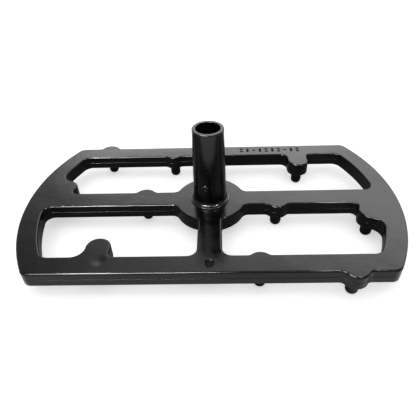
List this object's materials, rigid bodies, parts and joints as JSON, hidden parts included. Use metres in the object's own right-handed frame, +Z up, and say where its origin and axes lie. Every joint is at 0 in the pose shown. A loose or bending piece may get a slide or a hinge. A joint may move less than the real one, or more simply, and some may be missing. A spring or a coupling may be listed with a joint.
{
  "type": "gas burner assembly",
  "caption": "Flat hollow burner frame with a central supply tube and downward nozzles, which spreads gas over a round burner area.",
  "frame": {"origin": "on the supply tube's axis, level with the nozzles' tips", "axes": "+X along the long bars, towards the right; +Y towards the back bar; +Z up along the supply tube"},
  "size_m": [0.2792, 0.1622, 0.0808],
  "materials": {
    "frame_black": "glossy black enamel with slight mottling",
    "tube_black": "glossy black enamel, dark rim face",
    "nozzle_black": "satin black",
    "fastener_black": "satin black coated steel",
    "seal_grey": "grey seal, lightly shiny edge",
    "jet_brass": "turned brass",
    "nut_steel": "zinc plated steel"
  },
  "bodies": {
    "root": {"frame_upper_shell": "frame_black", "frame_lower_shell": "frame_black", "supply_tube": "tube_black", "tube_foot_seal": "seal_grey", "tube_retaining_nut": "nut_steel", "pressure_test_screw": "fastener_black", "front_clamp_rivet": "fastener_black", "rear_clamp_rivet": "fastener_black", "nozzle_rear_left": "nozzle_black", "nozzle_front_right": "nozzle_black", "nozzle_rear_centre": "nozzle_black", "nozzle_front_centre": "nozzle_black", "nozzle_rear_right": "nozzle_black", "nozzle_front_left": "nozzle_black", "nozzle_middle_left": "nozzle_black", "nozzle_middle_right": "nozzle_black", "nozzle_end_left": "nozzle_black", "nozzle_end_right": "nozzle_black", "jet_rear_left": "jet_brass", "jet_front_right": "jet_brass", "jet_rear_centre": "jet_brass", "jet_front_centre": "jet_brass", "jet_rear_right": "jet_brass", "jet_front_left": "jet_brass", "jet_middle_left": "jet_brass", "jet_middle_right": "jet_brass", "jet_end_left": "jet_brass", "jet_end_right": "jet_brass"}
  },
  "joints": []
}
